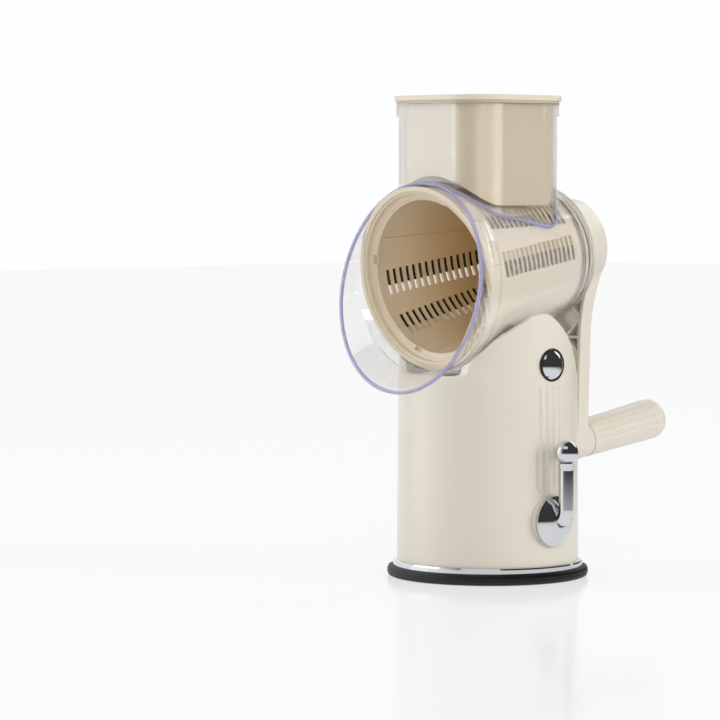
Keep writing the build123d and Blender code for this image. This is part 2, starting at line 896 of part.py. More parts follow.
def rear_cover_screws():
    seat = barrel_inner_end + barrel_back_wall + cover_thickness
    one = Pos(cover_screw_circle, 0, 0) * screw(barrel_inner_end, seat)
    return in_drum(Compound(children=around(one, cover_screw_count, 45)))


def shaft_bush():
    bush = rod(bush_radius, barrel_inner_end, bush_end)
    bush += rod(bush_flange_radius, barrel_inner_end - bush_flange, barrel_inner_end)
    return in_drum(bush - rod(crank_shaft_radius + running_clearance, 90, bush_end + 1))


# Drum

def panel_space(gap):
    """What a panel fills, in the drum's frame at angle 0, grown by a gap at its sides."""
    grow = degrees(gap / cone_radius(panel_rear))
    field = cone_shell(panel_front, panel_rear, 0, -drum_wall)
    space = field & wedge(0, panel_half_angle + grow, panel_front, panel_rear)
    tongue = cone_shell(tongue_front, panel_front, 0, -drum_wall)
    return space + (tongue & wedge(0, tongue_half_angle + grow, tongue_front, panel_front))


def row_angles():
    return (-row_spread, row_spread)


def slot_places():
    return [slot_first + i * slot_pitch for i in range(slot_count)]


def row_slots():
    """One row of slots, at angle 0."""
    slots = []
    for s in slot_places():
        radius = cone_radius(s)
        slot = block(
            (radius - 3 * drum_wall, radius + drum_wall),
            (-slot_length / 2, slot_length / 2),
            (s - slot_width / 2, s + slot_width / 2),
        )
        slots.append(slot)
    return slots


def blade_strip(row):
    """Steel strip moulded into the panel: it shows in the lower share of each slot."""
    start = slot_first - slot_width / 2 - blade_margin
    end = min(slot_last + slot_width / 2 + blade_margin, panel_rear - 0.5)
    sheet = cone_shell(start, end, -blade_sink, -blade_sink - blade_thickness)
    middle = cone_radius((slot_first + slot_last) / 2)
    low_edge = slot_length / 2 + blade_margin
    high_edge = slot_length / 2 - blade_share * slot_length
    centre = degrees((high_edge + low_edge) / 2 / middle)
    half = degrees((low_edge - high_edge) / 2 / middle)
    return at_angle(sheet & wedge(-centre, half, start, end), row)


def blade_panel():
    """Shredding panel with two rows of slots, at angle 0."""
    panel = panel_space(0)
    cuts = [at_angle(slot, row) for row in row_angles() for slot in row_slots()]
    panel -= cuts
    for row in row_angles():
        panel -= blade_strip(row)
    return panel


def drum_frame():
    """Conical cage: front ring, two side staves, rear wall and hub."""
    frame = cone_shell(0, drum_length, 0, -drum_wall)
    inner = cone_radius(front_ring_depth) - front_ring_width
    wall_face = cone_radius(0) - drum_wall
    step = cone_radius(0) - front_ring_width * 0.55
    ring_profile = spun(
        (cone_radius(0) - drum_wall - 0.5, 0),
        (wall_face + 0.5, 0),
        (wall_face + 0.5, front_ring_depth + 2),
        (inner + 2.5, front_ring_depth + 2),
        (inner, front_ring_depth + 1),
        (inner, front_ring_depth),
        (inner + 2, front_ring_depth - 1.6),
        (step, front_ring_depth - 2.2),
        (step, 1.4),
        (wall_face - 1, 1.0),
    )
    rear = rod(cone_radius(drum_length) - drum_wall + 0.5, rear_wall_front, drum_length - 1)
    hub = rod(hub_tube_radius, hub_tube_front, drum_length - 1)
    frame += ring_profile & cone(0, drum_length, 0)
    frame += rear
    frame += hub
    frame -= rod(socket_radius, hub_tube_front - 1, drum_length + 1)
    for centre in (drum_phase, drum_phase + 180):
        frame -= at_angle(panel_space(panel_gap), centre)
    for angle in ring_notch_angles:
        notch = block(
            (inner - 1, inner + ring_notch_depth),
            (-ring_notch_width / 2, ring_notch_width / 2),
            (-1, front_ring_depth + 1),
        )
        frame -= at_angle(notch, angle)
    return in_drum(frame)


def drive_socket():
    socket = rod(socket_radius, hub_tube_front, drum_length - 1)
    bore = extrude(RegularPolygon(hex_across / 2 + hex_play, 6, major_radius=False), drum_length)
    return in_drum(socket - bore)


# Crank

def crank_shaft():
    """Round journal with a hexagonal drive end and a collar."""
    hexagon = extrude(RegularPolygon(hex_across / 2, 6, major_radius=False), barrel_inner_end)
    shaft = hexagon & rod(2 * hex_across, hex_front, barrel_inner_end - bush_flange)
    shaft += rod(crank_shaft_radius, barrel_inner_end - bush_flange, head_back - cap_seat_depth)
    return in_drum(shaft - rod(crank_screw_radius, crank_screw_end, head_back))


def arm_outline(inset):
    """The hanging arm's outline in the XZ plane, drawn in by a wall."""
    low_half = arm_low_half_width - inset
    mid_half = arm_mid_half_width - inset
    top_half = arm_top_half_width - inset
    flare = ((mid_half + top_half) / 2 - 2.2, (arm_mid_z + arm_top_z) / 2)
    lines = []
    for side in (-1, 1):
        start, mid, end = (side * low_half, arm_low_z), (side * mid_half, arm_mid_z), (side * top_half, arm_top_z)
        lines.append(Line(start, mid))
        lines.append(ThreePointArc(mid, (side * flare[0], flare[1]), end))
    lines.append(Line((-top_half, arm_top_z), (top_half, arm_top_z)))
    lines.append(ThreePointArc((-low_half, arm_low_z), (0, arm_low_z - low_half), (low_half, arm_low_z)))
    return make_face(Curve() + lines)


def upright(face, front, back):
    """Extrudes a face drawn in (x, z) between two places along Y."""
    return Pos(0, back, 0) * (Rot(90, 0, 0) * extrude(face, back - front))


def crank_head(wall):
    """The round head in the drum's frame, drawn in by a wall."""
    length = head_back - head_front
    if wall:
        return Pos(0, 0, head_front - 1) * Cone(
            head_front_radius - wall, head_back_radius - wall, length + 1 - wall, align=low
        )
    head = Pos(0, 0, head_front) * Cone(head_front_radius, head_back_radius, length, align=low)
    rim = head.edges().filter_by(GeomType.CIRCLE).sort_by(Axis.Z)[-1]
    return fillet(rim, head_round)


def crank_ribs():
    """Crossed ribs in the arm's channel."""
    ribs = []
    for i in range(rib_count):
        centre = arm_mid_z + (i - (rib_count - 2)) * rib_pitch
        for angle in (45, -45, 0):
            bar = Box(3 * arm_top_half_width, arm_back - arm_front - rib_sink, rib_thickness)
            middle = (arm_front + arm_back + rib_sink) / 2
            ribs.append(Pos(0, middle, centre) * Rot(0, angle, 0) * bar)
    return ribs


def crank_arm():
    """Round hollow head and ribbed channel arm with the grip's boss."""
    outer_arm = upright(arm_outline(0), arm_front, arm_back)
    inner_arm = upright(arm_outline(crank_wall), arm_front - 1, arm_back - crank_wall)
    head = in_drum(crank_head(0))
    arm = head + outer_arm
    pocket = in_drum(crank_head(crank_wall)) + inner_arm
    boss = in_grip(rod(arm_low_half_width, -4, grip_boss_length)) + (
        upright(Pos(0, arm_low_z) * Circle(arm_low_half_width - 1), arm_front, arm_back)
    )
    shell = arm - pocket
    ribs = joined(crank_ribs()) & inner_arm
    shell += ribs - in_drum(rod(head_front_radius, head_front - 30, head_back - crank_wall))
    shell += in_drum(rod(crank_boss_radius, head_front, head_back - 1))
    shell += boss
    shell -= in_drum(rod(crank_shaft_radius, head_front - 1, head_back - cap_seat_depth))
    shell -= in_drum(rod(cap_seat_radius, head_back - cap_seat_depth, head_back + 1))
    return shell - in_grip(rod(pin_radius, -9, grip_boss_length + 1))


def crank_screw():
    seat = head_back - cap_seat_depth
    bolt = rod(crank_screw_radius, crank_screw_end, seat)
    return in_drum(bolt + rod(crank_screw_head, seat, seat + screw_head_height))


def crank_cap():
    top = head_back + 0.4
    return in_drum(rod(cap_seat_radius, top - cap_thickness, top))


def grip_pin():
    end = grip_boss_length + grip_length - grip_cap_length - 1
    pin = rod(pin_radius, -5, end)
    return in_grip(pin + rod(pin_head_radius, end - pin_head_height, end))


# Grip

def grip_sleeve():
    """Fluted handle that turns on the pin."""
    start = grip_boss_length + moving_gap
    end = grip_boss_length + grip_length - grip_cap_length
    sleeve = Pos(0, 0, start) * Cone(grip_root_radius, grip_end_radius, end - start, align=low)
    pocket_start = start + grip_bearing
    pocket_end = end - 2 * grip_bearing
    sleeve -= rod(pin_radius + running_clearance, start - 1, end + 1)
    sleeve -= rod(grip_root_radius - grip_wall - 1, pocket_start, pocket_end)
    sleeve -= rod(pin_head_radius + moving_gap, end - 1 - pin_head_height - moving_gap, end + 1)
    lean = degrees(atan((grip_end_radius - grip_root_radius) / (end - start)))
    groove_length = end - start - 2 * grip_flute_margin
    groove = rod(grip_flute_radius, 0, groove_length)
    groove += Sphere(grip_flute_radius) + Pos(0, 0, groove_length) * Sphere(grip_flute_radius)
    place = grip_root_radius + grip_flute_radius - grip_flute_depth
    place += (grip_end_radius - grip_root_radius) * grip_flute_margin / (end - start)
    one = Pos(place, 0, start + grip_flute_margin) * Rot(0, lean, 0) * groove
    sleeve -= around(one, grip_flutes)
    return in_grip(sleeve)


def grip_cap():
    """Rounded end that closes the handle."""
    start = grip_boss_length + grip_length - grip_cap_length
    cap = rod(grip_end_radius, start, start + grip_cap_length)
    edge = cap.edges().filter_by(GeomType.CIRCLE).sort_by(Axis.Z)[-1]
    return in_grip(fillet(edge, grip_cap_length - 1))


# Pusher

def pusher_prism(inset, bottom, top):
    """The pusher's drafted block, drawn in by a wall."""
    side = pusher_side - 2 * inset
    section = RectangleRounded(side, side, pusher_corner - inset)
    return Pos(0, hopper_y, top) * Rot(180, 0, 0) * extrude(section, top - bottom, taper=pusher_draft)


def saddle(grow):
    """Cylinder across the object that hollows the pusher's underside."""
    reach = hopper_side
    tool = Cylinder(saddle_radius + grow, 2 * reach)
    return Pos(0, hopper_y, saddle_z) * Rot(90, 0, 0) * tool


def pusher_cup():
    """Open-topped block that rests on the hopper's rim by its flange."""
    bottom = saddle_z + saddle_radius / 4
    flange_side = pusher_side + 2 * pusher_flange_width
    cup = pusher_prism(0, bottom, hopper_top) - saddle(0)
    cup += rounded_prism(flange_side, pusher_corner + pusher_flange_width, hopper_top, lid_bottom)
    hollow = pusher_prism(pusher_wall, bottom, hopper_top + 0.01) - saddle(pusher_wall)
    inner = pusher_side - 2 * pusher_wall
    hollow += rounded_prism(inner, pusher_corner - pusher_wall, hopper_top, lid_bottom + 1)
    return cup - hollow


def pusher_lid():
    lid = rounded_prism(lid_side, lid_corner, lid_bottom, lid_bottom + lid_thickness)
    rim = lid.faces().sort_by(Axis.Z)[-1].edges() + lid.faces().sort_by(Axis.Z)[0].edges()
    return fillet(rim, lid_round)


# Every piece by its name

panel_a = at_angle(blade_panel(), drum_phase)
panel_b = at_angle(blade_panel(), drum_phase + 180)
low_row, high_row = row_angles()

pieces = {
    "suction_pad": suction_pad(),
    "base_trim_ring": base_trim_ring(),
    "body_shell": body_shell(),
    "base_plate": base_plate(),
    "base_screws": base_screws(),
    "shaft_bracket": shaft_bracket(),
    "bracket_screws": bracket_screws(),
    "hub_seat": hub_seat(),
    "lever_casting": lever_casting(),
    "lever_ball": lever_ball(),
    "lever_shaft": lever_shaft(),
    "shaft_clip": shaft_clip(),
    "pull_stem": pull_stem(),
    "cradle_deck": cradle_deck(),
    "deck_screws": deck_screws(),
    "button_bezel": button_bezel(),
    "release_button": release_button(),
    "button_plunger": button_plunger(),
    "latch_plate": latch_plate(),
    "plunger_guide": plunger_guide(),
    "button_spring": button_spring(),
    "barrel_housing": barrel_housing(),
    "rear_cover": rear_cover(),
    "rear_cover_screws": rear_cover_screws(),
    "shaft_bush": shaft_bush(),
    "drum_frame": drum_frame(),
    "drive_socket": drive_socket(),
    "blade_panel_a": in_drum(panel_a),
    "blade_panel_b": in_drum(panel_b),
    "blade_strip_a1": in_drum(at_angle(blade_strip(low_row), drum_phase)),
    "blade_strip_a2": in_drum(at_angle(blade_strip(high_row), drum_phase)),
    "blade_strip_b1": in_drum(at_angle(blade_strip(low_row), drum_phase + 180)),
    "blade_strip_b2": in_drum(at_angle(blade_strip(high_row), drum_phase + 180)),
    "crank_shaft": crank_shaft(),
    "crank_arm": crank_arm(),
    "crank_screw": crank_screw(),
    "crank_cap": crank_cap(),
    "grip_pin": grip_pin(),
    "grip_sleeve": grip_sleeve(),
    "grip_cap": grip_cap(),
    "pusher_cup": pusher_cup(),
    "pusher_lid": pusher_lid(),
}

os.makedirs("parts", exist_ok=True)
for name, piece in pieces.items():
    export_step(piece, f"parts/{name}.step")
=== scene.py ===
import bpy
import bmesh
import math
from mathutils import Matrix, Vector


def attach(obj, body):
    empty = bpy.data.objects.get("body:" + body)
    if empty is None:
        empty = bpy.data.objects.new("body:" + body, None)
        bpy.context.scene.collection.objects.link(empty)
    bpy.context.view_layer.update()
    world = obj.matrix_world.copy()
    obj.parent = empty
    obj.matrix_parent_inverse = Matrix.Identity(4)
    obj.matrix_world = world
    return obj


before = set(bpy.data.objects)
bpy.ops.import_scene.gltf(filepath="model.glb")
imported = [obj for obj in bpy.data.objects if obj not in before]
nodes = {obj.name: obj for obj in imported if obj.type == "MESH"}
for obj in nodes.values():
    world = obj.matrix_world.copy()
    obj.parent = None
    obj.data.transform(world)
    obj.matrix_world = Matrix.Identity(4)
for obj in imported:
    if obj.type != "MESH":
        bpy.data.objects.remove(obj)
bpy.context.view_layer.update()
print("frame loaded")


# Colours and nodes

def hexColour(code):
    # sRGB hex to the linear values that the shaders take
    parts = [int(code[i:i + 2], 16) / 255 for i in (1, 3, 5)]
    linear = [c / 12.92 if c <= 0.04045 else ((c + 0.055) / 1.055) ** 2.4 for c in parts]
    return (*linear, 1.0)


def addNode(tree, kind, settings=None, inputs=None, links=None):
    # one node with its settings, its input values and what feeds its inputs
    node = tree.nodes.new(kind)
    for name, value in (settings or {}).items():
        setattr(node, name, value)
    for name, value in (inputs or {}).items():
        node.inputs[name].default_value = value
    for name, source in (links or {}).items():
        tree.links.new(source, node.inputs[name])
    return node


def newMaterial(name):
    material = bpy.data.materials.new(name)
    material.use_nodes = True
    material.node_tree.nodes.clear()
    return material, material.node_tree


def finishMaterial(tree, shader):
    addNode(tree, "ShaderNodeOutputMaterial", links={"Surface": shader})


def dress(material, *names):
    for name in names:
        node = nodes[name]
        node.data.materials.clear()
        node.data.materials.append(material)


def addPiece(name, data, material, body):
    data.materials.clear()
    data.materials.append(material)
    piece = bpy.data.objects.new(name, data)
    bpy.context.scene.collection.objects.link(piece)
    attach(piece, body)
    return piece


# Camera: where the photograph was taken from

photoCamera = {
    "place": (1.49896, -1.49268, 0.25187),
    "turn": (86.9, 0.0, 47.33),
    "lens": 165.956,
    "sensor": 36.0,
    "clip": (0.05, 30),
}
cameraData = bpy.data.cameras.new("photoCamera")
cameraData.lens = photoCamera["lens"]
cameraData.sensor_width = photoCamera["sensor"]
cameraData.clip_start, cameraData.clip_end = photoCamera["clip"]
camera = bpy.data.objects.new("photoCamera", cameraData)
camera.location = photoCamera["place"]
camera.rotation_euler = [math.radians(a) for a in photoCamera["turn"]]
bpy.context.scene.collection.objects.link(camera)
bpy.context.scene.camera = camera
print("camera set")


# The drum's cone at rest, which the barrel shares

drumCone = {
    "rimMm": (-56.38, 190.41),  # y and z of the middle of its mouth
    "tilt": 8.69,               # degrees that the axis rises to the rear
    "cone": 10.4,               # degrees that the wall closes in on the axis
}


# Moulded plastics

# thick and quite opaque, an even cream with a soft, wide highlight
creamAbs = {
    "base": "#E0DACC",
    "shade": "#DCD5C5",
    "roughness": 0.30,
    "roughSpread": 0.02,
    "mottleMm": 45.0,       # slow colour drift of a thick moulding
    "grainMm": 0.9,         # orange peel left by the mould, drawn coarse enough to show
    "grainDepth": 0.03,
    "bumpMm": 0.02,
    "scatter": 0.08,
    "coat": 0.25,
}
# a waxier, slightly yellower cream, duller and with more light in the skin
creamPp = {
    "base": "#DED4C0",
    "shade": "#DACEB8",
    "roughness": 0.36,
    "roughSpread": 0.02,
    "mottleMm": 30.0,
    "grainMm": 0.7,
    "grainDepth": 0.03,
    "bumpMm": 0.02,
    "scatter": 0.12,
    "coat": 0.1,
}
# painted shade: the pusher gets a darker beige copy of the cream polypropylene, for how it looks
# through the hopper
pusherShadedLook = {**creamPp, "base": "#C1B59D", "shade": "#BDB097"}
drumLook = {
    **creamPp,
    "base": "#D8CEBC",
    "shade": "#D4C9B5",
    "inside": "#DFC394",        # painted warm shade on the inner face, where light has bounced through cream
    "shadeDepthMm": (2.0, 75.0),     # where the painted shade starts and is full, behind the rim
    "shadeDepthShare": (0.25, 1.0),  # how strong it is at those two places
    "faceMm": 56.9,             # radius, at the rim, between the inner and the outer face
    "faceBlendMm": 0.3,
}
mouldedSkin = {
    "ior": 1.5,
    "scatterRadius": (1.0, 0.8, 0.55),
    "scatterMm": 2.0,
    "coatRoughness": 0.12,
}


def paintedShadeInside(tree, place, colour, look):
    # painted warm shade on the inner face of the cone, told by its distance from the drum's axis
    turned = addNode(
        tree, "ShaderNodeMapping", {"vector_type": "TEXTURE"},
        inputs={
            "Location": (0, drumCone["rimMm"][0] / 1000, drumCone["rimMm"][1] / 1000),
            "Rotation": (math.radians(drumCone["tilt"]), 0, 0),
        },
        links={"Vector": place},
    )
    part = addNode(tree, "ShaderNodeSeparateXYZ", links={"Vector": turned.outputs["Vector"]})
    across = addNode(
        tree, "ShaderNodeCombineXYZ", links={"X": part.outputs["X"], "Z": part.outputs["Z"]},
    )
    radius = addNode(
        tree, "ShaderNodeVectorMath", {"operation": "LENGTH"}, links={0: across.outputs["Vector"]},
    )
    level = addNode(
        tree, "ShaderNodeMath", {"operation": "MULTIPLY_ADD"},
        inputs={1: math.tan(math.radians(drumCone["cone"]))},
        links={0: part.outputs["Y"], 2: radius.outputs["Value"]},
    )
    share = addNode(
        tree, "ShaderNodeMapRange",
        inputs={
            "From Min": (look["faceMm"] - look["faceBlendMm"]) / 1000,
            "From Max": (look["faceMm"] + look["faceBlendMm"]) / 1000,
            "To Min": 1.0, "To Max": 0.0,
        },
        links={"Value": level.outputs[0]},
    )
    depth = addNode(
        tree, "ShaderNodeMapRange",
        inputs={
            "From Min": look["shadeDepthMm"][0] / 1000, "From Max": look["shadeDepthMm"][1] / 1000,
            "To Min": look["shadeDepthShare"][0], "To Max": look["shadeDepthShare"][1],
        },
        links={"Value": part.outputs["Y"]},
    )
    stain = addNode(
        tree, "ShaderNodeMath", {"operation": "MULTIPLY"},
        links={0: share.outputs["Result"], 1: depth.outputs["Result"]},
    )
    mix = addNode(
        tree, "ShaderNodeMix", {"data_type": "RGBA"}, links={0: stain.outputs[0], 6: colour},
    )
    mix.inputs[7].default_value = hexColour(look["inside"])
    return mix.outputs[2]


def mouldedPlastic(name, look):
    # opaque moulding: even colour, soft gloss, a trace of orange peel, a little light in the skin
    material, tree = newMaterial(name)
    place = addNode(tree, "ShaderNodeTexCoord").outputs["Object"]
    drift = addNode(
        tree, "ShaderNodeTexNoise",
        inputs={"Scale": 1000 / look["mottleMm"], "Detail": 2.0, "Roughness": 0.5},
        links={"Vector": place},
    )
    colour = addNode(
        tree, "ShaderNodeMix", {"data_type": "RGBA"},
        links={0: drift.outputs["Fac"]},
    )
    colour.inputs[6].default_value = hexColour(look["base"])
    colour.inputs[7].default_value = hexColour(look["shade"])
    skin = colour.outputs[2]
    # a look with an inside colour gets painted warm shade on the drum cone's inner face
    if "inside" in look:
        skin = paintedShadeInside(tree, place, skin, look)
    grain = addNode(
        tree, "ShaderNodeTexNoise",
        inputs={"Scale": 1000 / look["grainMm"], "Detail": 3.0, "Roughness": 0.55},
        links={"Vector": place},
    )
    rough = addNode(
        tree, "ShaderNodeMapRange",
        inputs={
            "From Min": 0.1, "From Max": 0.9,
            "To Min": look["roughness"] - look["roughSpread"],
            "To Max": look["roughness"] + look["roughSpread"],
        },
        links={"Value": drift.outputs["Fac"]},
    )
    bump = addNode(
        tree, "ShaderNodeBump",
        inputs={"Strength": look["grainDepth"], "Distance": look["bumpMm"] / 1000},
        links={"Height": grain.outputs["Fac"]},
    )
    shader = addNode(
        tree, "ShaderNodeBsdfPrincipled",
        inputs={
            "IOR": mouldedSkin["ior"],
            "Subsurface Weight": look["scatter"],
            "Subsurface Radius": mouldedSkin["scatterRadius"],
            "Subsurface Scale": mouldedSkin["scatterMm"] / 1000,
            "Coat Weight": look["coat"],
            "Coat Roughness": mouldedSkin["coatRoughness"],
        },
        links={
            "Base Color": skin,
            "Roughness": rough.outputs["Result"],
            "Normal": bump.outputs["Normal"],
        },
    )
    finishMaterial(tree, shader.outputs["BSDF"])
    return material


# Clear styrene acrylonitrile: hard and glossy, cool in its cut edges

clearSan = {
    "tint": "#FDFDFF",
    "roughness": 0.015,
    "ior": 1.52,
    "alpha": 0.5,           # a thin wall bends little: half of the light goes straight through
    "lampTint": "#FAFAFC",  # of the light that lamps send through the walls
}
# the edge pieces' violet grey is partly the resin's tint and partly painted shade for refraction's
# dark lines
clearEdge = {
    "tint": "#B9B6DC",
    "roughness": 0.06,
    "ior": 1.52,
    "transmission": 0.45,
}


def clearPlastic(name, look):
    material, tree = newMaterial(name)
    shader = addNode(
        tree, "ShaderNodeBsdfPrincipled",
        inputs={
            "Base Color": hexColour(look["tint"]),
            "Roughness": look["roughness"],
            "IOR": look["ior"],
            "Transmission Weight": 1.0,
            "Alpha": look["alpha"],
        },
    )
    passing = addNode(
        tree, "ShaderNodeBsdfTransparent", inputs={"Color": hexColour(look["lampTint"])},
    )
    ray = addNode(tree, "ShaderNodeLightPath")
    mix = addNode(
        tree, "ShaderNodeMixShader",
        links={
            0: ray.outputs["Is Shadow Ray"],
            1: shader.outputs["BSDF"],
            2: passing.outputs["BSDF"],
        },
    )
    finishMaterial(tree, mix.outputs["Shader"])
    return material


def edgePlastic(name, look):
    # a rolled edge gathers light along the wall; its violet grey is partly the resin's blue and
    # partly painted shade for the dark lines refraction draws in a clear edge
    material, tree = newMaterial(name)
    shader = addNode(
        tree, "ShaderNodeBsdfPrincipled",
        inputs={
            "Base Color": hexColour(look["tint"]),
            "Roughness": look["roughness"],
            "IOR": look["ior"],
            "Transmission Weight": look["transmission"],
        },
    )
    finishMaterial(tree, shader.outputs["BSDF"])
    return material


# Metals and rubber

# a bright, cool mirror with hardly any blur
chromePlate = {"base": "#D9DADD", "roughness": 0.05, "wearMm": 6.0, "spread": 0.03}
# painted shade: the steel is darkened for the shade inside the drum, with a thin glint
bladeSteel = {"base": "#454341", "roughness": 0.24, "wearMm": 3.0, "spread": 0.08}
# grey and half dull, as plated screws and shafts are
innerSteel = {"base": "#A8A7A5", "roughness": 0.35, "wearMm": 4.0, "spread": 0.08}
# nearly black, with a broad faint sheen
blackRubber = {"base": "#0B0B0C", "roughness": 0.5, "wearMm": 2.0, "spread": 0.12}
# painted shade: the ring round the button is brown black and matt, for the shadow in the gap round
# the dome
gapShadePlastic = {"base": "#26211E", "roughness": 0.5, "wearMm": 2.0, "spread": 0.1}


def plainSurface(name, look, metallic):
    # plated, rolled or moulded: one colour, roughness that varies slowly
    material, tree = newMaterial(name)
    place = addNode(tree, "ShaderNodeTexCoord").outputs["Object"]
    wear = addNode(
        tree, "ShaderNodeTexNoise",
        inputs={"Scale": 1000 / look["wearMm"], "Detail": 4.0, "Roughness": 0.6},
        links={"Vector": place},
    )
    rough = addNode(
        tree, "ShaderNodeMapRange",
        inputs={
            "From Min": 0.3, "From Max": 0.75,
            "To Min": look["roughness"],
            "To Max": look["roughness"] + look["spread"],
        },
        links={"Value": wear.outputs["Fac"]},
    )
    shader = addNode(
        tree, "ShaderNodeBsdfPrincipled",
        inputs={"Base Color": hexColour(look["base"]), "Metallic": metallic},
        links={"Roughness": rough.outputs["Result"]},
    )
    finishMaterial(tree, shader.outputs["BSDF"])
    return material


mouldedAbs = mouldedPlastic("creamMouldedAbs", creamAbs)
mouldedPp = mouldedPlastic("creamMouldedPolypropylene", creamPp)
shadedPusherPp = mouldedPlastic("shadedWarmMouldedPolypropylene", pusherShadedLook)
# the drum's material has painted warm shade on its inner face
drumPp = mouldedPlastic("stainedMouldedPolypropylene", drumLook)
clearHousing = clearPlastic("clearMouldedSan", clearSan)
edgeSan = edgePlastic("violetEdgeOfClearSan", clearEdge)
plating = plainSurface("chromePlatedZinc", chromePlate, 1.0)
stainless = plainSurface("stainlessBladeSheet", bladeSteel, 1.0)
plainSteel = plainSurface("zincPlatedSteel", innerSteel, 1.0)
padRubber = plainSurface("blackSuctionRubber", blackRubber, 0.0)
gapShadeAbs = plainSurface("gapShadeMouldedAbs", gapShadePlastic, 0.0)

dress(mouldedAbs, "body_shell", "crank_arm", "crank_cap", "grip_sleeve", "grip_cap", "rear_cover")
dress(mouldedAbs, "base_plate", "shaft_bracket", "cradle_deck", "plunger_guide", "pull_stem")
dress(mouldedAbs, "hub_seat")
dress(mouldedPp, "pusher_lid", "drive_socket", "shaft_bush")
dress(drumPp, "drum_frame", "blade_panel_a", "blade_panel_b")
# the pusher cup's darker beige is painted shade
dress(shadedPusherPp, "pusher_cup")
dress(clearHousing, "barrel_housing")
dress(plating, "base_trim_ring", "lever_casting", "lever_ball", "release_button")
dress(stainless, "blade_strip_a1", "blade_strip_a2", "blade_strip_b1", "blade_strip_b2")
dress(plainSteel, "base_screws", "bracket_screws", "deck_screws", "rear_cover_screws")
dress(plainSteel, "lever_shaft", "shaft_clip", "button_plunger", "latch_plate", "button_spring")
dress(plainSteel, "crank_screw", "crank_shaft", "grip_pin")
dress(padRubber, "suction_pad")
# the bezel's brown black is painted shade for the gap round the button
dress(gapShadeAbs, "button_bezel")
print("materials set")


# The guard's rolled edge, an oval bead all round

guardRim = {
    "topMm": (-58.0, 250.7),    # y and z of the edge's top and bottom
    "lowMm": (-81.5, 119.5),
    "halfWidthMm": 62.6,
    "insetMm": 0.6,
    "backMm": 1.0,              # behind the edge's front face
    "radiusMm": 0.95,
    "handle": 0.5523,           # share of a half axis that rounds a quarter of an oval
    "roundSteps": 4,
    "alongSteps": 40,
}


def ovalBead(name, look, material, body):
    top = Vector((0, *look["topMm"])) / 1000
    low = Vector((0, *look["lowMm"])) / 1000
    up = (top - low).normalized()
    back = up.cross(Vector((1, 0, 0)))
    middle = (top + low) / 2 + back * look["backMm"] / 1000
    high = up * ((top - low).length / 2 - look["insetMm"] / 1000)
    wide = Vector((1, 0, 0)) * (look["halfWidthMm"] - look["insetMm"]) / 1000
    curve = bpy.data.curves.new(name, "CURVE")
    curve.dimensions = "3D"
    curve.bevel_depth = look["radiusMm"] / 1000
    curve.bevel_resolution = look["roundSteps"]
    curve.resolution_u = look["alongSteps"]
    spline = curve.splines.new("BEZIER")
    spline.bezier_points.add(3)
    spline.use_cyclic_u = True
    for point, (out, along) in zip(
        spline.bezier_points, ((wide, high), (high, -wide), (-wide, -high), (-high, wide)),
    ):
        point.co = middle + out
        point.handle_right = middle + out + along * look["handle"]
        point.handle_left = middle + out - along * look["handle"]
    addPiece(name, curve, material, body)


# Where the hopper's wall runs into the barrel the two make a thick clear fillet

hopperSeam = {
    "sideMm": 85.0,
    "cornerMm": 24.0,
    "centreMm": -9.5,           # y of the hopper's middle
    "barrelMm": 60.6,           # the barrel's outer radius at the drum's mouth
    "radiusMm": 1.0,
    "cornerSteps": 9,
    "sideShares": (0.2, 0.4, 0.6, 0.8),
    "roundSteps": 3,
    "tries": 12,                # enough for the height to settle
}


def barrelTop(x, y, look):
    # height of the barrel's outside over a place, all in millimetres
    rimY, rimZ = drumCone["rimMm"]
    tilt = math.radians(drumCone["tilt"])
    slope = math.tan(math.radians(drumCone["cone"]))
    z = rimZ + look["barrelMm"]
    for _ in range(look["tries"]):
        along = (y - rimY) * math.cos(tilt) + (z - rimZ) * math.sin(tilt)
        radius = look["barrelMm"] - along * slope
        across = math.sqrt(max(radius ** 2 - x ** 2, 0))
        z = rimZ + (across + (y - rimY) * math.sin(tilt)) / math.cos(tilt)
    return z


def seamLine(name, look, material, body):
    half = look["sideMm"] / 2 - look["cornerMm"]
    curve = bpy.data.curves.new(name, "CURVE")
    curve.dimensions = "3D"
    curve.bevel_depth = look["radiusMm"] / 1000
    curve.bevel_resolution = look["roundSteps"]
    path = []
    for corner in range(4):
        middle = math.radians(45 + 90 * corner)
        centre = Vector([math.copysign(half, part(middle)) for part in (math.cos, math.sin)])
        for step in range(look["cornerSteps"]):
            turn = math.radians(90 * (corner + step / (look["cornerSteps"] - 1)))
            path.append(centre + look["cornerMm"] * Vector((math.cos(turn), math.sin(turn))))
        straight = Vector((-centre.y, centre.x)) - centre
        path += [path[-1] + straight * share for share in look["sideShares"]]
    points = []
    for x, y in path:
        y += look["centreMm"]
        points.append((x / 1000, y / 1000, barrelTop(x, y, look) / 1000, 1))
    spline = curve.splines.new("NURBS")
    spline.points.add(len(points) - 1)
    for point, place in zip(spline.points, points):
        point.co = place
    spline.order_u = 3
    spline.use_cyclic_u = True
    addPiece(name, curve, material, body)


ovalBead("guardRim", guardRim, edgeSan, "base")
seamLine("hopperSeam", hopperSeam, edgeSan, "base")
print("clear edges made")


# Floor, backdrop and soft studio light

studio = {
    "backdrop": "#FDFEFF",
    "floor": "#F2F2F5",
    "floorGlow": 0.62,          # share of plain white that the eye sees in the floor
    "floorHalf": 6,
    "floorDrop": 0.0002,        # below the rest face, so that the two don't flicker
    "tableReach": (0.3, 0.85),  # metals see the table this far, then the dark room
    "worldLight": 0.55,
    "brightWay": (-0.98, -0.2, 0),
    "dark": 0.05,               # the room away from the bright side, in metal
    "darkFade": (0.05, 0.5),
    "side": 0.45,               # the room across the bright side's line, through clear plastic
    "sideFade": (0.1, 0.5),
}
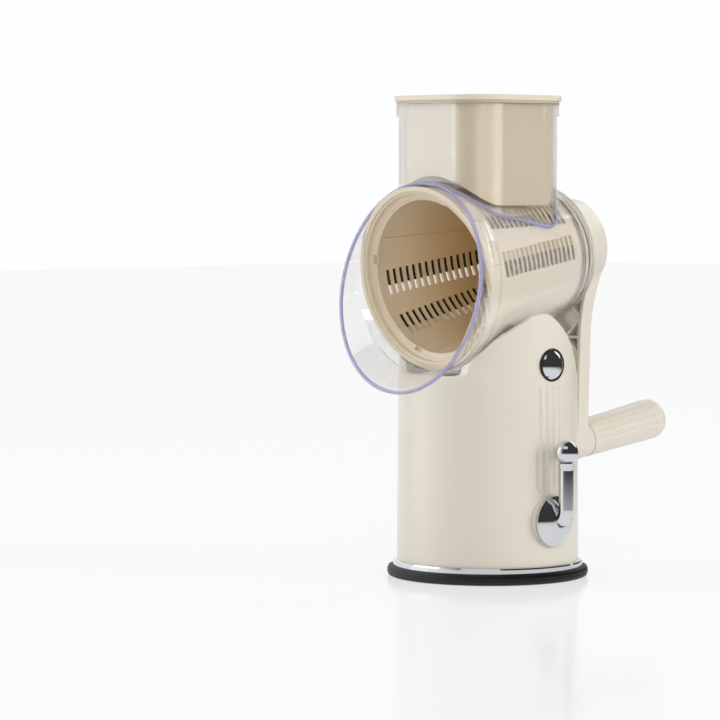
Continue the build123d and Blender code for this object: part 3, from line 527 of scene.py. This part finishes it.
# the unmirrored lamps light the plastics without a white patch in the chrome
lamps = {
    "keyLeft": {
        "place": (-1.3, -1.25, 0.65), "aim": (0, 0, 0.17),
        "size": (1.2, 1.8), "power": 11.0, "mirrored": False,
    },
    "windowLeft": {
        "place": (-1.27, -1.22, 0.64), "aim": (0, 0, 0.17),
        "size": (1.1, 1.7), "power": 5.5, "mirrored": True,
    },
    "frontTop": {
        "place": (0.75, -1.1, 1.7), "aim": (0, 0, 0.15),
        "size": (1.5, 1.0), "power": 3.5, "mirrored": True,
    },
    "frontRight": {
        "place": (1.6, -1.1, 0.4), "aim": (0, 0, 0.17),
        "size": (0.9, 1.0), "power": 8.0, "mirrored": False,
    },
    "rightSoft": {
        "place": (1.6, 0.9, 0.6), "aim": (0, 0, 0.17),
        "size": (0.9, 1.2), "power": 15.0, "mirrored": False,
    },
    "backSoft": {
        "place": (-0.3, 1.7, 1.0), "aim": (0, 0, 0.2),
        "size": (1.2, 0.8), "power": 4.0, "mirrored": True,
    },
}


def seenRay(tree, ray):
    # 1 for what the camera sees, straight, in a reflection or through clear plastic
    mirrored = addNode(
        tree, "ShaderNodeMath", {"operation": "MAXIMUM"},
        links={0: ray.outputs["Is Camera Ray"], 1: ray.outputs["Is Glossy Ray"]},
    )
    return addNode(
        tree, "ShaderNodeMath", {"operation": "MAXIMUM"},
        links={0: mirrored.outputs[0], 1: ray.outputs["Is Transmission Ray"]},
    ).outputs[0]


def makeFloor():
    mesh = bmesh.new()
    bmesh.ops.create_grid(mesh, x_segments=1, y_segments=1, size=studio["floorHalf"])
    data = bpy.data.meshes.new("floor")
    mesh.to_mesh(data)
    mesh.free()
    floor = bpy.data.objects.new("floor", data)
    floor.location = (0, 0, -studio["floorDrop"])
    bpy.context.scene.collection.objects.link(floor)
    material, tree = newMaterial("palePolishedFloor")
    shader = addNode(
        tree, "ShaderNodeBsdfPrincipled",
        inputs={"Base Color": hexColour(studio["floor"]), "Roughness": 0.12, "IOR": 1.4},
    )
    glow = addNode(tree, "ShaderNodeEmission", inputs={"Strength": 1.0})
    ray = addNode(tree, "ShaderNodeLightPath")
    seen = seenRay(tree, ray)
    share = addNode(
        tree, "ShaderNodeMath", {"operation": "MULTIPLY"},
        inputs={1: studio["floorGlow"]}, links={0: seen},
    )
    mix = addNode(
        tree, "ShaderNodeMixShader",
        links={0: share.outputs[0], 1: shader.outputs["BSDF"], 2: glow.outputs[0]},
    )
    away = addNode(
        tree, "ShaderNodeVectorMath", {"operation": "LENGTH"},
        links={0: addNode(tree, "ShaderNodeTexCoord").outputs["Object"]},
    )
    beyond = addNode(
        tree, "ShaderNodeMapRange",
        inputs={"From Min": studio["tableReach"][0], "From Max": studio["tableReach"][1]},
        links={"Value": away.outputs["Value"]},
    )
    gone = addNode(
        tree, "ShaderNodeMath", {"operation": "MULTIPLY"},
        links={0: ray.outputs["Is Glossy Ray"], 1: beyond.outputs["Result"]},
    )
    passing = addNode(tree, "ShaderNodeBsdfTransparent")
    table = addNode(
        tree, "ShaderNodeMixShader",
        links={0: gone.outputs[0], 1: mix.outputs["Shader"], 2: passing.outputs[0]},
    )
    finishMaterial(tree, table.outputs["Shader"])
    data.materials.append(material)


def addLamp(name, look):
    data = bpy.data.lights.new(name, "AREA")
    data.shape = "RECTANGLE"
    data.size, data.size_y = look["size"]
    data.energy = look["power"]
    lamp = bpy.data.objects.new(name, data)
    lamp.location = look["place"]
    lamp.visible_glossy = look["mirrored"]
    way = Vector(look["aim"]) - Vector(look["place"])
    lamp.rotation_euler = way.to_track_quat("-Z", "Y").to_euler()
    bpy.context.scene.collection.objects.link(lamp)


def lightWorld():
    # plain white to the camera, and a room with a bright side to metal and clear plastic
    world = bpy.data.worlds.new("studioWorld")
    bpy.context.scene.world = world
    world.use_nodes = True
    tree = world.node_tree
    tree.nodes.clear()
    ray = addNode(tree, "ShaderNodeLightPath")
    way = addNode(tree, "ShaderNodeTexCoord").outputs["Generated"]
    ahead = addNode(
        tree, "ShaderNodeVectorMath", {"operation": "DOT_PRODUCT"},
        links={0: way},
    )
    ahead.inputs[1].default_value = studio["brightWay"]
    metal = addNode(
        tree, "ShaderNodeMapRange",
        inputs={
            "From Min": studio["darkFade"][0], "From Max": studio["darkFade"][1],
            "To Min": studio["dark"], "To Max": 1.0,
        },
        links={"Value": ahead.outputs["Value"]},
    )
    across = addNode(
        tree, "ShaderNodeMath", {"operation": "ABSOLUTE"}, links={0: ahead.outputs["Value"]},
    )
    clear = addNode(
        tree, "ShaderNodeMapRange",
        inputs={
            "From Min": studio["sideFade"][0], "From Max": studio["sideFade"][1],
            "To Min": studio["side"], "To Max": 1.0,
        },
        links={"Value": across.outputs[0]},
    )
    glossy = addNode(
        tree, "ShaderNodeMix", {"data_type": "FLOAT"},
        links={0: ray.outputs["Is Glossy Ray"], 3: metal.outputs["Result"]},
    )
    glossy.inputs[2].default_value = studio["worldLight"]
    passed = addNode(
        tree, "ShaderNodeMix", {"data_type": "FLOAT"},
        links={
            0: ray.outputs["Is Transmission Ray"],
            2: glossy.outputs[0],
            3: clear.outputs["Result"],
        },
    )
    strength = addNode(
        tree, "ShaderNodeMix", {"data_type": "FLOAT"},
        links={0: ray.outputs["Is Camera Ray"], 2: passed.outputs[0]},
    )
    strength.inputs[3].default_value = 1.0
    shown = addNode(
        tree, "ShaderNodeBackground",
        inputs={"Color": hexColour(studio["backdrop"])}, links={"Strength": strength.outputs[0]},
    )
    addNode(tree, "ShaderNodeOutputWorld", links={"Surface": shown.outputs[0]})


makeFloor()
lightWorld()
for name, look in lamps.items():
    addLamp(name, look)
bpy.context.scene.view_settings.view_transform = "Standard"
print("studio set")
